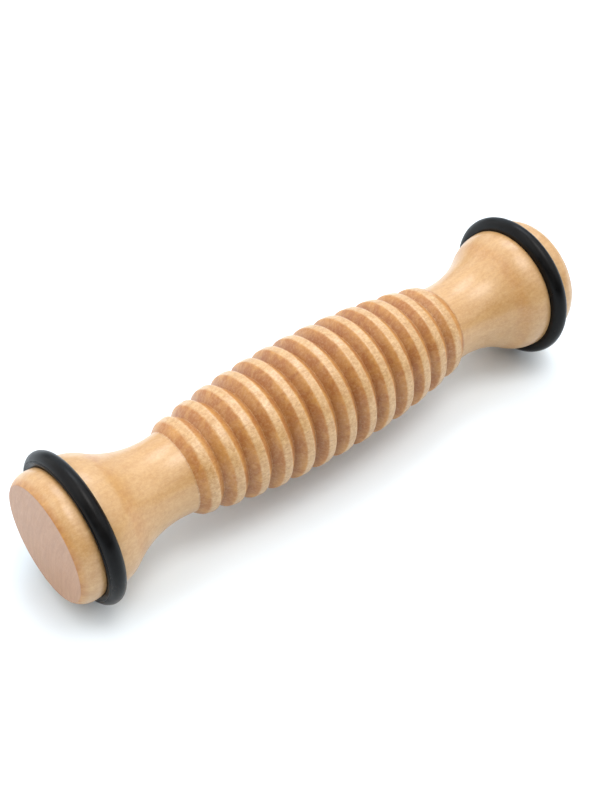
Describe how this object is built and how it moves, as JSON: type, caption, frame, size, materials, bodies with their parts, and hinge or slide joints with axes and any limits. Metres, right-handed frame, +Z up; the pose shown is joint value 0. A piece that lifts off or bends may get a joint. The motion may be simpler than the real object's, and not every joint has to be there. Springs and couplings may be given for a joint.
{
  "type": "foot massage roller",
  "caption": "Turned wooden foot massage roller with a ridged, barrel-shaped middle between waisted ends, each of which carries a rubber ring that it rolls on.",
  "frame": {"origin": "on the floor, under the middle of the roller's axis, with the roller resting on its rubber rings", "axes": "+X along the roller's axis, +Y across it, the way it rolls, +Z up"},
  "size_m": [0.203, 0.0514, 0.0514],
  "materials": {
    "wood": "pale fine-grained hardwood, sanded and sealed with a thin satin lacquer",
    "ring_rubber": "matte black moulded rubber with a fine parting line"
  },
  "bodies": {
    "root": {"roller_body": "wood", "left_rubber_ring": "ring_rubber", "right_rubber_ring": "ring_rubber"}
  },
  "joints": []
}
